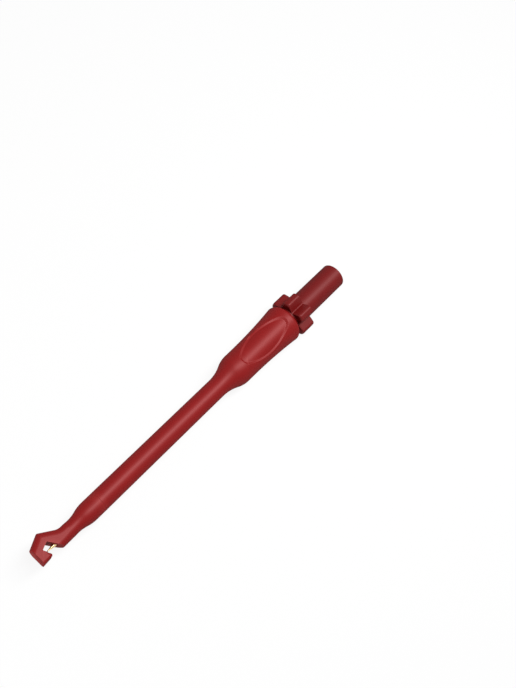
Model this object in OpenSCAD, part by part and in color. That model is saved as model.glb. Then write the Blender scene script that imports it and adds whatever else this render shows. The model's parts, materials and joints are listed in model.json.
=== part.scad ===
/* [Hook] */
// Diameter of the neck
neck_d = 5.2; // [5:0.1:5.6]
// How far the flat faces of the head stand above the neck, on each side
neck_step = 0.05; // [0.05:0.05:0.2]
// How far the front edge reaches below the probe's axis
front_drop = 2.5; // [2.2:0.05:2.8]
// How far the front edge reaches above the probe's axis
front_rise = 3.9; // [3.5:0.05:4.3]
// How far the jaw's nose reaches below the axis
nose_drop = 2.2; // [1.8:0.05:2.4]
// Distance from the front edge to the peak of the back
back_x = 4.9; // [4.4:0.1:5.5]
// Height of the peak of the back above the axis
back_rise = 6.25; // [5.8:0.05:6.8]
// Slope of the back from its peak down to the neck, in degrees
back_fall = 32.6; // [30:0.2:38]
// Distance from the front edge to the inner end of the wire gap
front_wall = 2.4; // [2:0.05:2.9]
// Height of the inner end of the wire gap above the axis
pocket_y = 1; // [0.7:0.05:1.4]
// Length of the roof of the wire gap, which sets the largest wire
roof_len = 2.95; // [2.5:0.05:3.4]
// Slope of the roof of the wire gap, in degrees
roof_slope = 23; // [16:1:28]
// Lean of the jaw face that the wire is pressed against, in degrees
jaw_lean = 28; // [22:1:32]
// Lean of the neck face that the needle comes out of, in degrees
throat_lean = 34; // [28:1:38]
// Rounding along the back of the hook head
back_round = 1.3; // [0.6:0.1:1.8]
// Rounding along the underside of the neck, behind the throat
under_round = 1.5; // [0.6:0.1:1.8]
// Length over which that rounding grows from the corner of the throat
under_grow = 1.6; // [0.8:0.1:2]
// Rounding along the outer edges of the jaw
edge_round = 0.5; // [0.2:0.05:0.7]
// Rounding along the edges and in the corners of the wire gap
gap_round = 0.3; // [0.15:0.05:0.4]
// Fillet between the back of the hook head and the neck, and of the bell that its flat faces run out in
neck_fillet = 4; // [2:0.5:6]
// Distance from that fillet to the start of the round neck
fade_len = 0.8; // [0.4:0.1:2]
// Length of the round neck between the hook head and the flare
neck_len = 2; // [1:0.1:4]

/* [Shaft and grip] */
// Length of the hook tip moulding, up to its joint with the shaft
tip_len = 25.8; // [25:0.1:31]
// Length of the neck's flare
flare_len = 7.4; // [5:0.1:8]
// Diameter of the shaft
shaft_d = 7.3; // [6.8:0.1:8.4]
// Length of the straight shaft behind the joint
shaft_len = 58.1; // [40:0.1:90]
// Length of the grip, with its front shoulder
grip_len = 39.2; // [39:0.1:46]
// Length of the grip's front shoulder
shoulder_len = 11.3; // [8:0.1:12]
// Share of the shoulder that is its hollow front curve
shoulder_share = 0.62; // [0.4:0.02:0.7]
// Diameter of the grip behind its shoulder
waist_d = 12.1; // [11.8:0.1:13]
// Largest diameter of the grip, near its rear end
grip_d = 14.7; // [14.2:0.1:16]
// Length of the grip's swell, up to its largest diameter
swell_len = 23.2; // [18:0.1:24]
// Rounding of the grip's rear edge
grip_round = 2.5; // [0.6:0.1:3]
// Length of the oval thumb recess
recess_len = 24.8; // [18:0.2:26]
// Width of the oval thumb recess
recess_w = 9; // [8:0.1:10]
// Radius of the thumb recess's ends
recess_end_r = 3.2; // [2.4:0.1:3.8]
// Depth of the thumb recess
recess_depth = 0.4; // [0.2:0.05:0.6]
// Distance from the grip's rear end to the middle of the recess
recess_back = 15.9; // [15.6:0.1:19]

/* [Knob] */
// Gap between the grip and the star collar with the knob screwed in
knob_gap = 1.4; // [0.8:0.1:2.5]
// Thickness of the star collar
collar_t = 6.4; // [5:0.1:8]
// Diameter over the tips of the star collar
star_d = 15.7; // [14.7:0.1:17]
// Width of each lobe at its tip
lobe_w = 2.6; // [1.8:0.1:3.2]
// Rounding of the lobe corners
lobe_round = 0.5; // [0.2:0.05:0.7]
// Diameter at the bottom of the valleys between the lobes
valley_d = 9.9; // [9.8:0.05:10.6]
// Rounding in the bottom of the valleys
valley_round = 0.3; // [0.1:0.05:0.6]
// Rounding of the star's front edges
star_front_round = 0.9; // [0.3:0.1:1.2]
// Rounding of the star's rear edges
star_rear_round = 0.4; // [0.2:0.1:0.8]
// Length of the socket barrel behind the collar
barrel_len = 22.1; // [21:0.1:26]
// Outside diameter of the socket barrel
barrel_d = 9.6; // [9.4:0.05:9.75]
// Bore of the socket barrel, for the sheath of the plug
shroud_d = 8.6; // [8.4:0.05:8.8]
// Rounding of the barrel's rim
rim_round = 0.2; // [0.05:0.05:0.25]
// Diameter of the knob's skirt inside the grip
skirt_d = 9.8; // [9.4:0.1:9.9]
// Length of the knob's skirt inside the grip
skirt_len = 10.4; // [9:0.1:12]
// Distance between the skirt and the nut with the knob screwed in
skirt_gap = 1.4; // [0.9:0.1:2]

/* [Socket] */
// Bore of the contact, for the pin of the plug
contact_d = 4; // [3.9:0.01:4.1]
// Outside diameter of the contact
contact_od = 4.8; // [4.7:0.05:4.9]
// Depth of the contact's rim inside the mouth
contact_depth = 7.3; // [6:0.1:8]
// Depth of the contact's bore
contact_bore_len = 10.5; // [8:0.1:11]
// Chamfer at the mouth of the contact's bore
lead_in = 0.25; // [0.1:0.05:0.25]
// Outside diameter of the insulating sleeve around the contact
sleeve_d = 5.5; // [5.4:0.05:6]
// Bore of the insulating sleeve at its rim
sleeve_mouth_d = 4.4; // [4.35:0.05:4.5]
// Depth of the insulating sleeve's rim inside the mouth
sleeve_depth = 3.2; // [2:0.1:4.5]
// Thickness of the sleeve's base
base_t = 0.9; // [0.6:0.1:1.4]

/* [Needle drive] */
// Diameter of the needle
needle_d = 1.2; // [0.9:0.05:1.3]
// Length of the needle's ground point
point_len = 3.2; // [2:0.1:4]
// Gap between the needle's point and the jaw face with the knob screwed in
point_gap = 0.25; // [0.2:0.05:0.6]
// Travel of the needle from the jaw to fully drawn in
travel = 4; // [3.6:0.1:4.4]
// Depth of the needle's hole in the neck, in front of its bush
bush_depth = 3.1; // [2.6:0.1:3.6]
// Outside diameter of the needle's guide bush
bush_d = 3; // [2.6:0.1:3.2]
// Length of the needle's guide bush
bush_len = 9.4; // [8:0.1:10]
// Outside diameter of the guide tube
tube_d = 4.6; // [4.4:0.1:4.8]
// Wall of the guide tube
tube_wall = 0.5; // [0.3:0.05:0.55]
// Thickness of the guide tube's flange
flange_t = 0.6; // [0.4:0.1:0.9]
// Outside diameter of the ferrule that joins needle and rod
ferrule_d = 3.2; // [3:0.05:3.3]
// Length of the ferrule
ferrule_len = 10; // [9:0.5:12]
// Diameter of the push rod
rod_d = 2.4; // [2:0.1:2.6]
// Bore of the grip that the rod's head slides in
cylinder_d = 6; // [5.8:0.1:6.2]
// Thickness of the rod's head
head_t = 3; // [2.8:0.1:3.4]
// Diameter of the cross pin that keeps the rod from turning
key_d = 1; // [0.8:0.05:1.1]
// Length of the cross pin
key_len = 8.8; // [8.4:0.1:9]
// Wire diameter of the return spring
wire_d = 0.45; // [0.35:0.05:0.55]
// Mean diameter of the return spring
coil_d = 4.3; // [4:0.1:4.6]
// Turns of the return spring
coil_turns = 7; // [5:1:8]
// Length of the return spring with the knob screwed in
spring_len = 6.1; // [5.2:0.1:7]
// Diameter of the thrust ball between rod and spindle
ball_d = 2; // [1.7:0.1:2.1]
// Diameter of the threaded spindle
spindle_d = 6; // [5.8:0.1:6.2]
// Diameter of the spindle's plain shank
shank_d = 5.2; // [4.8:0.1:5.4]
// Diameter of the spindle's knurled head inside the star
knurl_d = 6.8; // [6.4:0.1:7.4]
// Length of the spindle's knurled head
knurl_len = 4.5; // [3.5:0.1:4.8]
// Outside diameter of the nut
nut_d = 9.4; // [9:0.1:9.8]
// Length of the nut
nut_len = 7; // [6:0.1:7.4]
// Outside diameter of the stop ring on the spindle
stop_d = 7.4; // [7.2:0.1:7.6]
// Thickness of the stop ring
stop_t = 0.8; // [0.6:0.05:0.9]
// Depth of the stop ring's groove
groove_depth = 0.5; // [0.3:0.05:0.7]
// Section diameter of the rubber sealing ring
seal_w = 1.1; // [0.9:0.05:1.2]

/* [Fits] */
// Radial clearance of a running fit
run_fit = 0.05; // [0.02:0.01:0.08]
// Clearance of pieces that pass without touching
free_fit = 0.3; // [0.25:0.01:0.35]
// Clearance of pieces that are seated for good
seat_fit = 0.02; // [0.01:0.01:0.04]
// Play left between stop ring and nut with the knob fully out
stop_play = 0.2; // [0.1:0.05:0.4]

/* [Hidden] */
$fn = 72;

red = "#8b1a1a";
dark_red = "#7a1818";
brass = "#c9a24b";
steel = "#b9bcc0";
gold = "#d9b45a";
rubber = "#1c1c1e";

// How far a cutting tool runs past the face that it cuts, and how far the hook's plate runs past its trims
over = 1;
past = 3;

// By how much the arc in a corner of the hook's outline is wider than the rounding of its edge
wider = 0.3;

// Radii of the driving diameters
neck_r = neck_d / 2;
head_r = neck_r + neck_step;
shaft_r = shaft_d / 2;
waist_r = waist_d / 2;
grip_r = grip_d / 2;
star_r = star_d / 2;
barrel_r = barrel_d / 2;
needle_r = needle_d / 2;
bush_r = bush_d / 2;
tube_r = tube_d / 2;
rod_r = rod_d / 2;
cylinder_r = cylinder_d / 2;
ball_r = ball_d / 2;
spindle_r = spindle_d / 2;
shank_r = shank_d / 2;
knurl_r = knurl_d / 2;
skirt_r = skirt_d / 2;
counterbore_r = skirt_r + free_fit;

// Corners of the wire gap and of the hook's back
jaw_top = [front_wall, pocket_y];
roof_end = jaw_top + roof_len * [cos(roof_slope), sin(roof_slope)];
nose = jaw_top + (pocket_y + nose_drop) / cos(jaw_lean) * [sin(jaw_lean), -cos(jaw_lean)];
throat = roof_end + (roof_end[1] + head_r) / cos(throat_lean) * [sin(throat_lean), -cos(throat_lean)];
back_end = [back_x + (back_rise - head_r) / tan(back_fall), head_r];
jaw_face_x = front_wall + pocket_y * tan(jaw_lean);
throat_face_x = roof_end[0] + roof_end[1] * tan(throat_lean);

// Stations along the outside, from the hook's front edge to the mouth of the socket
x_neck = back_end[0] + neck_fillet * tan(back_fall / 2) + fade_len;
x_flare = x_neck + neck_len;
x_joint = tip_len;
x_grip = x_joint + shaft_len;
x_grip_end = x_grip + grip_len;
x_collar = x_grip_end + knob_gap;
x_barrel = x_collar + collar_t;
x_mouth = x_barrel + barrel_len;

// Front end of the spindle ahead of its stop ring, and how far the thrust ball holds it off the rod's head
nose_t = 0.6;
ball_show = 0.7;

// Wall that the rod's head keeps under the ball, and the rod behind its cross hole
seat_wall = 0.4;

// The knob's stack, from its skirt forwards to the return spring
x_skirt = x_grip_end - skirt_len;
x_nut_end = x_skirt - skirt_gap;
x_nut = x_nut_end - nut_len;
x_stop_end = x_nut - travel - stop_play;
x_stop = x_stop_end - stop_t;
x_spindle = x_stop - nose_t;
x_head_end = x_spindle - ball_show;
x_head = x_head_end - head_t;
x_ball = x_head_end + ball_show / 2;
x_rod_end = x_ball - ball_r - seat_wall;
x_key = x_rod_end - seat_wall - key_d / 2;
x_spring = x_head - spring_len;
x_flange = x_spring - flange_t;

// Bores of the grip
chamber_r = stop_d / 2 + free_fit;
x_chamber = x_stop - nose_t - free_fit;
slot_r = key_len / 2 + free_fit / 2;
slot_w = key_d + free_fit;

// Gap between the needle's bush and the guide tube, and the ferrule's place behind the tube's front end
bush_gap = 0.2;
ferrule_in = 0.8;

// The needle train in the hook tip
needle_hole_r = needle_r + free_fit;
x_point = jaw_face_x + point_gap;
x_bush = throat_face_x + bush_depth;
x_bush_end = x_bush + bush_len;
x_tube = x_bush_end + bush_gap;
x_ferrule = x_tube + ferrule_in;
x_rod = x_ferrule + ferrule_len;

// Shares of the ferrule that hold the needle and the rod's spigot, and the spigot's radius
needle_share = 0.45;
spigot_share = 0.4;
needle_hold = ferrule_len * needle_share;
spigot_len = ferrule_len * spigot_share;
spigot_r = 0.8;

// Core of the spindle that carries the contact, the contact's wall between core and bore, and its flange
core_len = 3;
core_r = 1.5;
contact_wall = 1.2;
contact_flange = 2.4;

// The socket
x_contact_rim = x_mouth - contact_depth;
x_contact_floor = x_contact_rim - contact_bore_len;
x_contact = x_contact_floor - core_len - contact_wall;
x_knurl = x_contact - knurl_len;
x_base = x_contact + contact_flange;
x_sleeve_rim = x_mouth - sleeve_depth;

// Sealing ring: its groove in the skirt, and the ring's middle radius
seal_gap = 0.15;
seal_back = 2;
x_seal = x_skirt + seal_back;
seal_r = counterbore_r - run_fit - seal_w / 2;

// Height of the axis above the lowest point of the probe, with a valley of the star facing down
lobe_low = (star_r - lobe_round) * sin(60) + (lobe_w / 2 - lobe_round) * cos(60) + lobe_round;
axis_h = max(grip_r, lobe_low);

// Puts the probe's axis along X, centred over the origin
module placed() { translate([-x_mouth / 2, 0, axis_h]) children(); }

// A solid of revolution about the probe's axis, from [station, radius] points
module turned(points) {
    rotate([0, 90, 0]) rotate_extrude() polygon([for (p = points) [p[1], p[0]]]);
}

module rod(x0, x1, r) { translate([x0, 0, 0]) rotate([0, 90, 0]) cylinder(h = x1 - x0, r = r); }

module tube(x0, x1, r_out, r_in) {
    difference() {
        rod(x0, x1, r_out);
        rod(x0 - over, x1 + over, r_in);
    }
}

// A hollow arc and a full arc, tangent to each other, that lift a profile from radius r0 to r1
function s_bend(x0, len, r0, r1, share, n) = let (
        turn = 2 * atan((r1 - r0) / len), whole = len / sin(turn), ra = whole * share, rb = whole - ra)
    concat(
        [for (i = [0:n]) [x0 + ra * sin(turn * i / n), r0 + ra * (1 - cos(turn * i / n))]],
        [for (i = [n - 1:-1:0]) [x0 + len - rb * sin(turn * i / n), r1 - rb * (1 - cos(turn * i / n))]]
    );

function unit(v) = v / norm(v);
function spot(c) = [c[0], c[1]];
function smooth(t) = t * t * (3 - 2 * t);

// An arc of n steps in corner b of an outline that comes from a and goes on to c.
// A corner is [x, y, corner radius, edge radius]; an arc point is [x, y, outward normal, edge radius].
function corner_arc(a, b, c, n) = let (
        u = unit(spot(b) - spot(a)), v = unit(spot(c) - spot(b)),
        turn = atan2(u[0] * v[1] - u[1] * v[0], u * v), side = sign(turn),
        start = spot(b) - u * b[2] * tan(abs(turn) / 2), out = [u[1], -u[0]],
        middle = start - side * b[2] * out, first = atan2(out[1], out[0]))
    [for (i = [0:n]) let (a = first + turn * i / max(n, 1), normal = [cos(a), sin(a)])
        [middle[0] + side * b[2] * normal[0], middle[1] + side * b[2] * normal[1], normal, b[3]]];

// All arcs of an outline in turn, and between two arcs points that lead one edge radius over to the next.
// A corner of radius 0 is a single point.
function outline(corners, n, between) = let (
        k = len(corners),
        arcs = [for (i = [0:k - 1])
            corner_arc(corners[(i + k - 1) % k], corners[i], corners[(i + 1) % k], corners[i][2] == 0 ? 0 : n)])
    [for (i = [0:k - 1]) let (p = arcs[i][len(arcs[i]) - 1], q = arcs[(i + 1) % k][0])
        each concat(arcs[i], p[3] == q[3] ? [] : [for (j = [1:between]) let (t = j / (between + 1))
            [p[0] + (q[0] - p[0]) * t, p[1] + (q[1] - p[1]) * t, p[2], p[3] + (q[3] - p[3]) * smooth(t)]])];

// Whether corner i of a loop can be cut off: it turns left, and no other point lies inside the cut
function can_cut(points, loop, i) = let (
        n = len(loop), a = points[loop[(i + n - 1) % n]], b = points[loop[i]], c = points[loop[(i + 1) % n]])
    cross(b - a, c - b) > 0 && len([for (j = loop) let (p = points[j])
        if (p != a && p != b && p != c && cross(b - a, p - a) >= 0 && cross(c - b, p - b) >= 0
            && cross(a - c, p - c) >= 0) j]) == 0;

function first_cut(points, loop, i) =
    i >= len(loop) || can_cut(points, loop, i) ? i : first_cut(points, loop, i + 1);

// Triangles that fill a hollow outline, found by cutting off one corner after the other
function filled(points, loop) = len(loop) < 3 ? [] : let (n = len(loop), i = first_cut(points, loop, 0))
    concat([[loop[(i + n - 1) % n], loop[i], loop[(i + 1) % n]]],
        filled(points, [for (j = [0:n - 1]) if (j != i) loop[j]]));

// A plate whose edges are rounded, all round its outline, by the edge radius of each point
module rounded_plate(points, thickness, steps) {
    n = len(points);
    half = thickness / 2;
    layers = 2 * steps + 2;
    shell = [for (j = [0:layers - 1]) let (
            up = j > steps, t = 90 * (up ? j - steps - 1 : steps - j) / steps)
        for (p = points) [
            p[0] - p[2][0] * p[3] * (1 - cos(t)),
            p[1] - p[2][1] * p[3] * (1 - cos(t)),
            (up ? 1 : -1) * (half - p[3] * (1 - sin(t)))
        ]];
    sides = [for (j = [0:layers - 2]) for (i = [0:n - 1]) let (
            a = j * n + i, b = j * n + (i + 1) % n)
        each [[a, a + n, b], [b, a + n, b + n]]];
    face = filled([for (i = [0:n - 1]) spot(shell[i])], [for (i = [0:n - 1]) i]);
    lift = (layers - 1) * n;
    caps = [for (f = face) each [f, [f[2] + lift, f[1] + lift, f[0] + lift]]];
    polyhedron(shell, concat(sides, caps));
}

// Hook head with its plate running on into the neck, past the stretch that the bell trims.
// In a corner the outline's arc is wider than its edge radius, so that the faces inside stay sound.
module hook_head() {
    jaw_line = (front_drop - nose_drop) / nose[0];
    back_line = (back_rise - front_rise) / back_x;
    corners = [
        [x_neck + past, head_r, back_round + wider, back_round],
        [back_end[0], back_end[1], neck_fillet, back_round],
        [back_x, back_rise, back_round + wider, back_round],
        [-past, front_rise - back_line * past, back_round + wider, back_round],
        [-past, -front_drop - jaw_line * past, edge_round + wider, edge_round],
        [nose[0], nose[1], edge_round + wider, edge_round],
        [jaw_top[0], jaw_top[1], gap_round, gap_round],
        [roof_end[0], roof_end[1], gap_round, gap_round],
        [throat[0], throat[1], gap_round + wider, gap_round],
        [throat[0] + under_grow, -head_r, 0, under_round],
        [x_neck + past, -head_r, under_round + wider, under_round]
    ];
    rounded_plate(outline(corners, 5, 4), 2 * head_r, 6);
}

// Turned outside of the hook tip: a front edge cut off square, the bell that turns the flat head into
// the round neck, and the flare
function tip_profile() = concat(
    [[0, 0], [0, grip_d], [x_neck - neck_fillet, grip_d]],
    [for (a = [90:-10:10]) [x_neck - neck_fillet * sin(a), neck_r + neck_fillet * (1 - cos(a))]],
    [[x_neck, neck_r]],
    s_bend(x_flare, flare_len, neck_r, shaft_r, 0.5, 6),
    [[x_joint, shaft_r], [x_joint, 0]]
);

// Hook tip: hook head, round neck and flare in one moulding
module hook_tip() {
    placed() color(red) difference() {
        intersection() {
            turned(tip_profile());
            union() {
                hook_head();
                translate([x_neck, -grip_d, -grip_d]) cube([tip_len, 2 * grip_d, 2 * grip_d]);
            }
        }
        rod(throat_face_x - past, x_bush + over, needle_hole_r);
        rod(x_bush, x_tube + over, bush_r + seat_fit);
        rod(x_tube, x_joint + over, tube_r + seat_fit);
    }
}

// Profile of the grip: shoulder, waist, swell and rounded rear edge
function grip_profile() = let (
        x_top = x_grip_end - grip_round, x_swell = x_top - swell_len,
        turn = 2 * atan((grip_r - waist_r) / swell_len), swell_r = swell_len / sin(turn) - grip_round)
    concat(
        s_bend(x_grip, shoulder_len, shaft_r, waist_r, shoulder_share, 7),
        [for (i = [0:8]) [x_swell + swell_r * sin(turn * i / 8), waist_r + swell_r * (1 - cos(turn * i / 8))]],
        [for (i = [0:8]) let (a = turn - (90 + turn) * i / 8)
            [x_top - grip_round * sin(a), grip_r - grip_round * (1 - cos(a))]]
    );

// The grip and shaft without their bores, made smaller all over by an inset
module grip_body(inset) {
    turned(concat(
        [[x_joint, 0], [x_joint, shaft_r - inset]],
        [for (p = grip_profile()) [p[0], p[1] - inset]],
        [[x_grip_end, 0]]
    ));
}

// An oval of two side arcs and two end arcs, tangent to each other
module oval(length, width, end_r) {
    reach = length / 2 - end_r;
    side_r = (reach * reach + width * width / 4 - end_r * end_r) / (width - 2 * end_r);
    edge_x = reach * side_r / (side_r - end_r);
    intersection() {
        for (s = [-1, 1]) translate([0, s * (side_r - width / 2)]) circle(r = side_r, $fn = 180);
        square([2 * edge_x, width], center = true);
    }
    for (s = [-1, 1]) translate([s * reach, 0]) circle(r = end_r);
}

// Thumb recesses on both sides, whose floors follow the grip's own curve
module thumb_recesses() {
    difference() {
        translate([x_grip_end - recess_back, 0, -grip_d])
            linear_extrude(2 * grip_d) oval(recess_len, recess_w, recess_end_r);
        grip_body(recess_depth);
    }
}

// Housing: shaft and grip in one moulding, with the bores for the needle drive and the nut
module housing() {
    placed() color(red) difference() {
        grip_body(0);
        thumb_recesses();
        rod(x_joint - over, x_flange + over / 2, tube_r + seat_fit);
        rod(x_flange, x_chamber + over, cylinder_r);
        rod(x_chamber, x_nut + over, chamber_r);
        rod(x_nut, x_nut_end + over, nut_d / 2 + seat_fit);
        rod(x_nut_end, x_grip_end + over, counterbore_r);
        translate([x_key - slot_w / 2, -slot_r, -slot_w / 2]) cube([travel + slot_w, 2 * slot_r, slot_w]);
    }
}

// Steel tube that stiffens the shaft, joins it to the hook tip and carries the spring on its flange
module guide_tube() {
    placed() color(steel) difference() {
        union() {
            rod(x_tube, x_spring, tube_r);
            rod(x_flange, x_spring, cylinder_r - seat_fit);
        }
        rod(x_tube - over, x_spring + over, tube_r - tube_wall);
    }
}

module needle_bush() { placed() color(brass) tube(x_bush, x_bush_end, bush_r, needle_r + run_fit); }

// Brass nut with two retaining grooves round it
module nut_insert() {
    groove_w = nut_len / 8;
    placed() color(brass) difference() {
        tube(x_nut, x_nut_end, nut_d / 2, spindle_r + run_fit);
        for (s = [2, 5]) tube(x_nut + s * groove_w, x_nut + (s + 1) * groove_w, nut_d, nut_d / 2 - groove_depth);
    }
}

// Needle with a ground point that ends in a very small flat
module needle() {
    placed() color(gold) turned([
        [x_point, 0], [x_point, needle_r / 12], [x_point + point_len, needle_r],
        [x_ferrule + needle_hold, needle_r], [x_ferrule + needle_hold, 0]
    ]);
}

// Ferrule crimped on the needle in front and on the rod's spigot behind
module needle_ferrule() {
    crimp = 0.6;
    x_crimps = [x_ferrule + 2 * crimp, x_ferrule + 5 * crimp, x_rod - 4 * crimp];
    placed() color(brass) difference() {
        rod(x_ferrule, x_rod, ferrule_d / 2);
        rod(x_ferrule - over, x_ferrule + needle_hold + seat_fit, needle_r + seat_fit);
        rod(x_rod - spigot_len - seat_fit, x_rod + over, spigot_r + seat_fit);
        for (x = x_crimps) tube(x, x + crimp, ferrule_d, ferrule_d / 2 - crimp / 3);
    }
}

// Push rod with a spigot in front and a cross hole for the guide pin
module push_rod() {
    placed() color(steel) difference() {
        union() {
            rod(x_rod - spigot_len, x_rod + over, spigot_r);
            rod(x_rod, x_rod_end, rod_r);
        }
        cross_hole();
    }
}

module cross_hole() {
    translate([x_key, 0, 0]) rotate([90, 0, 0]) cylinder(h = 2 * key_len, r = key_d / 2 + seat_fit, center = true);
}

// Head that slides in the grip and takes the thrust of the spindle through the ball
module rod_head() {
    placed() color(brass) difference() {
        rod(x_head, x_head_end, cylinder_r - run_fit);
        rod(x_head - over, x_rod_end + seat_fit, rod_r + seat_fit);
        cross_hole();
        translate([x_ball, 0, 0]) sphere(r = ball_r + seat_fit);
    }
}

module guide_pin() {
    placed() color(steel) translate([x_key, 0, 0]) rotate([90, 0, 0])
        cylinder(h = key_len, r = key_d / 2, center = true);
}

module thrust_ball() { placed() color(steel) translate([x_ball, 0, 0]) sphere(r = ball_r); }

// Coil spring between the guide tube's flange and the rod's head
module return_spring() {
    sides = 8;
    steps = 20;
    rings = coil_turns * steps;
    wire_r = wire_d / 2;
    start = x_spring + wire_r + run_fit;
    rise = spring_len - wire_d - 2 * run_fit;
    points = [for (i = [0:rings]) for (k = [0:sides - 1])
        let (a = 360 * i / steps, b = 360 * k / sides, r = coil_d / 2 + wire_r * cos(b))
        [start + rise * i / rings + wire_r * sin(b), r * cos(a), r * sin(a)]];
    skin = [for (i = [0:rings - 1]) for (k = [0:sides - 1])
        let (p = i * sides + k, q = i * sides + (k + 1) % sides)
        each [[p, q, q + sides], [p, q + sides, p + sides]]];
    ends = [[for (k = [sides - 1:-1:0]) k], [for (k = [0:sides - 1]) rings * sides + k]];
    placed() color(steel) polyhedron(points, concat(skin, ends));
}

// Outline of the star collar, with one lobe along the plate of the hook
function star_outline() = [for (p = outline([for (i = [0:5]) let (
            lobe = 60 * i + 90, valley = lobe + 30,
            out = [cos(lobe), sin(lobe)], across = [-sin(lobe), cos(lobe)],
            low = out * star_r - across * lobe_w / 2, high = out * star_r + across * lobe_w / 2)
        each [
            [low[0], low[1], lobe_round, 0],
            [high[0], high[1], lobe_round, 0],
            [valley_d / 2 * cos(valley), valley_d / 2 * sin(valley), valley_round, 0]
        ]], 5, 0)) spot(p)];

module star_collar() {
    reach = norm([star_r, lobe_w / 2]);
    front = star_front_round;
    rear = star_rear_round;
    intersection() {
        translate([x_collar, 0, 0]) rotate([0, 90, 0]) linear_extrude(collar_t) polygon(star_outline());
        turned(concat(
            [[x_collar, 0]],
            [for (i = [0:5]) [x_collar + front * (1 - cos(18 * i)), reach - front * (1 - sin(18 * i))]],
            [for (i = [0:4]) [x_barrel - rear * (1 - sin(22.5 * i)), reach - rear * (1 - cos(22.5 * i))]],
            [[x_barrel, 0]]
        ));
    }
}

// Star knob: skirt, star collar and socket barrel in one moulding
module star_knob() {
    placed() color(dark_red) difference() {
        union() {
            rod(x_skirt, x_collar + over, skirt_r);
            star_collar();
            turned([
                [x_barrel - over, 0], [x_barrel - over, barrel_r], [x_mouth - rim_round, barrel_r],
                [x_mouth, barrel_r - rim_round], [x_mouth, 0]
            ]);
        }
        rod(x_skirt - over, x_knurl + over, shank_r + seat_fit);
        rod(x_knurl, x_base + over / 2, knurl_r + seat_fit);
        rod(x_base, x_mouth + over, shroud_d / 2);
        seal_groove();
    }
}

module seal_groove() {
    tube(x_seal, x_seal + seal_w + 2 * seal_gap, skirt_d, seal_r - seal_w / 2 - run_fit);
}

// Rubber ring that keeps dirt out of the grip
module seal_ring() {
    placed() color(rubber) translate([x_seal + seal_gap + seal_w / 2, 0, 0]) rotate([0, 90, 0])
        rotate_extrude() translate([seal_r, 0]) circle(d = seal_w, $fn = 32);
}

// Brass spindle: thread, shank, knurled head and the core that carries the contact
module spindle() {
    placed() color(brass) difference() {
        union() {
            rod(x_spindle, x_nut_end, spindle_r);
            rod(x_nut_end - over, x_knurl + over, shank_r);
            rod(x_knurl, x_contact, knurl_r);
            rod(x_contact - over, x_contact + core_len, core_r);
        }
        translate([x_ball, 0, 0]) sphere(r = ball_r + run_fit);
        tube(x_stop, x_stop_end, spindle_d, spindle_r - groove_depth);
    }
}

// Split ring in the spindle's groove, which meets the nut when the knob is fully out
module stop_ring() {
    inner_r = spindle_r - groove_depth + seat_fit;
    split = inner_r * 1.3;
    placed() color(steel) difference() {
        tube(x_stop + seat_fit, x_stop_end - seat_fit, stop_d / 2, inner_r);
        translate([x_stop - over, -split / 2, 0]) cube([stop_t + 2 * over, split, stop_d]);
    }
}

// Contact: flange seated in the star, and a bored cylinder for the pin of the plug
module contact_socket() {
    placed() color(gold) difference() {
        union() {
            rod(x_contact, x_base, knurl_r);
            rod(x_contact, x_contact_rim, contact_od / 2);
        }
        rod(x_contact - over, x_contact + core_len + seat_fit, core_r + seat_fit);
        rod(x_contact_floor, x_contact_rim + over, contact_d / 2);
        turned([
            [x_contact_rim - lead_in, 0], [x_contact_rim - lead_in, contact_d / 2],
            [x_contact_rim + over, contact_d / 2 + lead_in + over], [x_contact_rim + over, 0]
        ]);
    }
}

// Insulating sleeve with a base that closes the bottom of the barrel, and a lip over the contact's rim
module socket_sleeve() {
    placed() color(dark_red) difference() {
        union() {
            rod(x_base, x_base + base_t, shroud_d / 2 - seat_fit);
            rod(x_base, x_sleeve_rim, sleeve_d / 2);
        }
        rod(x_base - over, x_contact_rim + seat_fit, contact_od / 2 + seat_fit);
        rod(x_contact_rim, x_sleeve_rim + over, sleeve_mouth_d / 2);
    }
}

hook_tip();
housing();
guide_tube();
needle_bush();
nut_insert();
needle();
needle_ferrule();
push_rod();
rod_head();
guide_pin();
return_spring();
thrust_ball();
star_knob();
spindle();
stop_ring();
seal_ring();
contact_socket();
socket_sleeve();
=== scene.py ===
"""Looks of the test hook probe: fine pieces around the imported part, their finishes, light and camera."""
import json
from math import atan2, cos, hypot, pi, radians, sin, sqrt, tan

import bmesh
import bpy
from mathutils import Matrix, Vector


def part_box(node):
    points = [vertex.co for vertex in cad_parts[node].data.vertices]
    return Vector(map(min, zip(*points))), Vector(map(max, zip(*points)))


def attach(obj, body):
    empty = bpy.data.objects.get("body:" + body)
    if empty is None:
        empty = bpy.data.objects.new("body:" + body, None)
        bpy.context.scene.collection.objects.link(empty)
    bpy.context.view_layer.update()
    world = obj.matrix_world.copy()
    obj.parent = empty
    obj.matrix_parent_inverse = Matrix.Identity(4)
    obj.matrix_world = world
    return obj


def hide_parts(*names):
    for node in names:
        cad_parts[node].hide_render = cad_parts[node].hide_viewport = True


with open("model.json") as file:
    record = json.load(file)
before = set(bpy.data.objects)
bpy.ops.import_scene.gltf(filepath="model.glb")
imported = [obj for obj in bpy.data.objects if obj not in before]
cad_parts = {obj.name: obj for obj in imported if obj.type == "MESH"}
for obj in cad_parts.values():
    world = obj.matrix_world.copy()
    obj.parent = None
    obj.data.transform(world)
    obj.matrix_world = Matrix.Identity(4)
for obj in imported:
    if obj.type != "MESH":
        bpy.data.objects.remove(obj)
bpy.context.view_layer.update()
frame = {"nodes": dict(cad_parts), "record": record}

MM = 0.001
record = frame["record"]
contact_mount = next(m for m in record["mounts"] if m["name"] == "contact")
front_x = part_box("hook_tip")[0].x
axis_z = contact_mount["pos_m"][2]


# Places. A station is the distance in millimetres from the hook's front edge, along the probe's axis.

def station(x_metres):
    return (x_metres - front_x) / MM


def start_of(node):
    return station(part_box(node)[0].x)


def end_of(node):
    return station(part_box(node)[1].x)


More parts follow.
